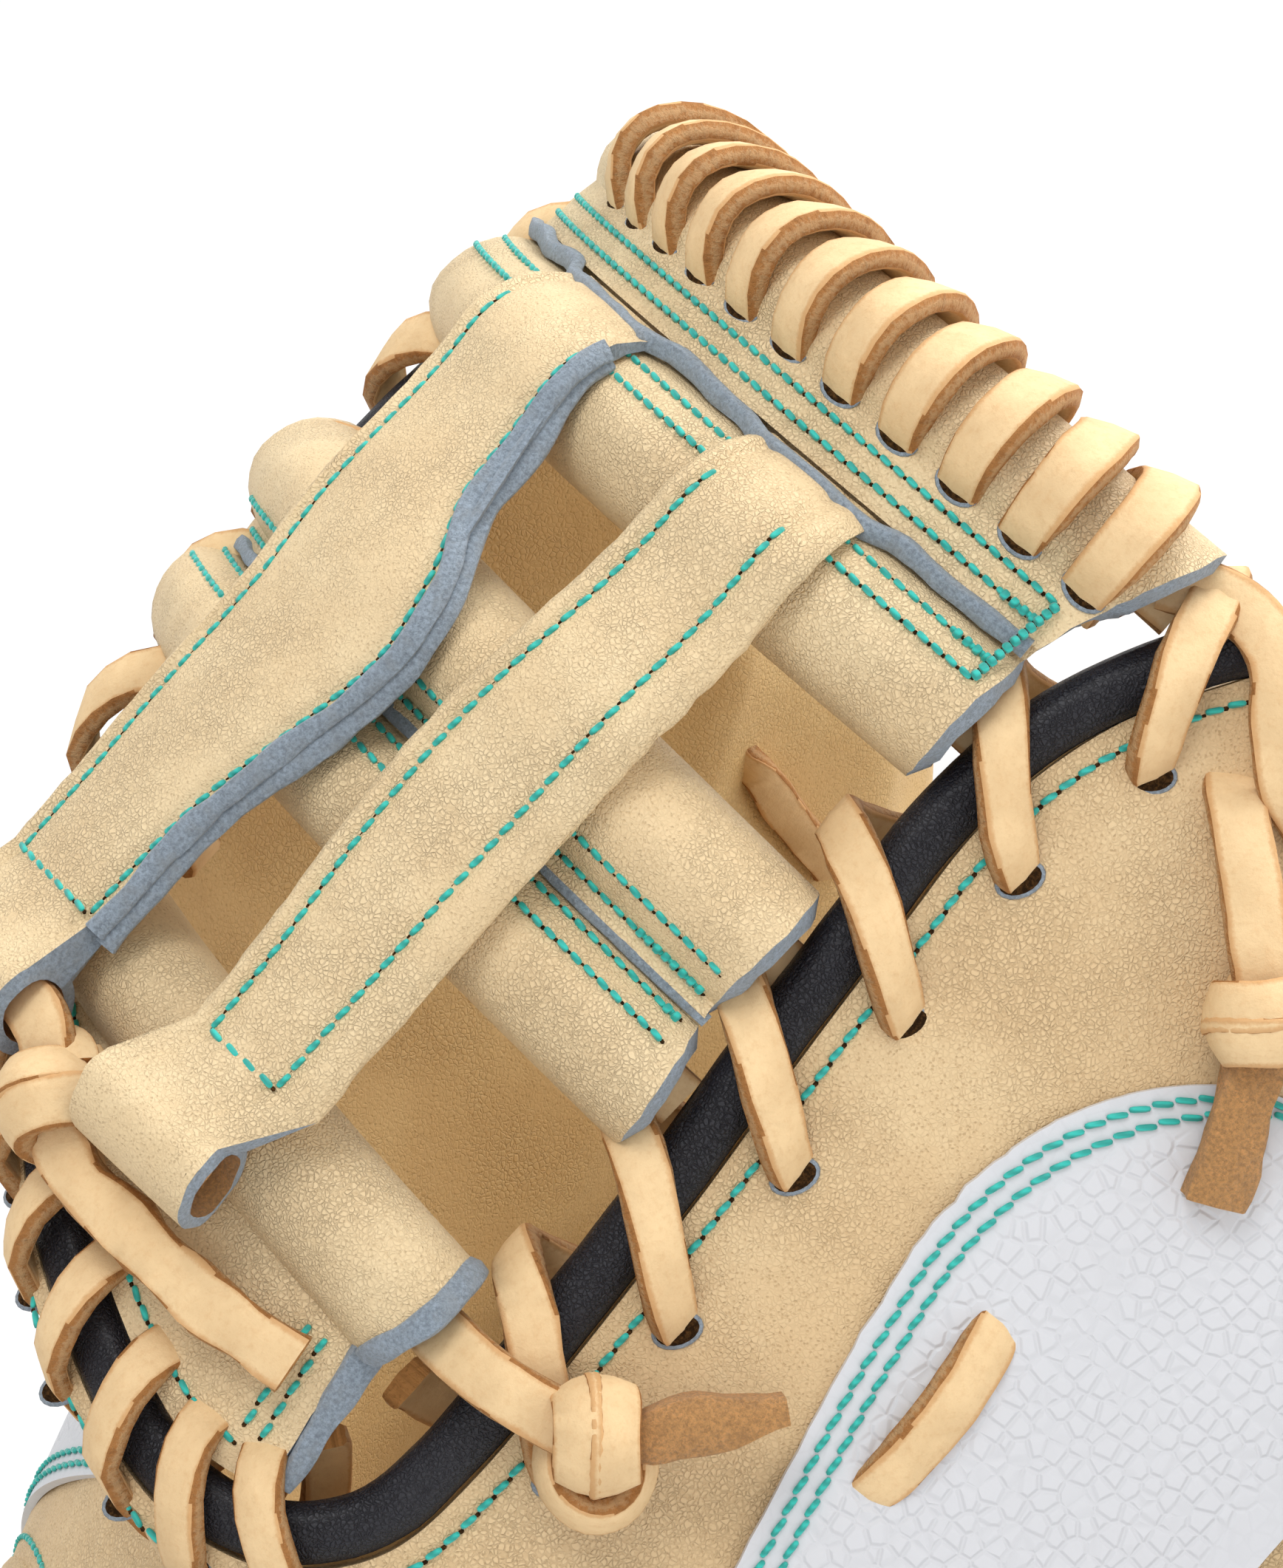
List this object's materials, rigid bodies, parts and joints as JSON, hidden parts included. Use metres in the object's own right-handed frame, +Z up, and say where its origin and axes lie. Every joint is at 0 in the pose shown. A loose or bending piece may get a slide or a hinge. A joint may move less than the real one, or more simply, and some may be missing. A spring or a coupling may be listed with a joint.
{
  "type": "softball catcher mitt",
  "caption": "Padded leather catcher's mitt with a barred web of rolled leather and posts, edge binding and lacing, lying pocket down.",
  "frame": {"origin": "centre of the bounding box at its base, on the surface that the mitt lies on, pocket down", "axes": "+Z up, out of the back of the mitt; +Y from the heel to the top of the web; +X towards the thumb"},
  "size_m": [0.1836, 0.315, 0.1502],
  "materials": {
    "palm_leather": "smooth tan cowhide",
    "leather": "pebbled blonde cowhide",
    "black_leather": "grained black binding leather",
    "white_panel": "white embossed leather with a scale pattern",
    "lace": "rawhide lace with a rough cut edge"
  },
  "bodies": {
    "root": {"palm": "palm_leather", "back_shell": "leather", "thumb_panel": "white_panel", "finger_panel": "white_panel", "binding": "black_leather", "top_bar": "leather", "mid_bar": "leather", "base_bar": "leather", "post_finger": "leather", "post_thumb": "leather", "top_spiral_lace": "lace", "thumb_edge_lace": "lace", "crotch_lace": "lace", "finger_edge_lace": "lace", "panel_stitch": "lace", "web_knot": "lace", "thumb_knot": "lace", "rim_knot": "lace", "top_bar_upper_lace": "lace", "top_bar_lower_lace": "lace", "mid_bar_upper_lace": "lace", "mid_bar_lower_lace": "lace"}
  },
  "joints": []
}
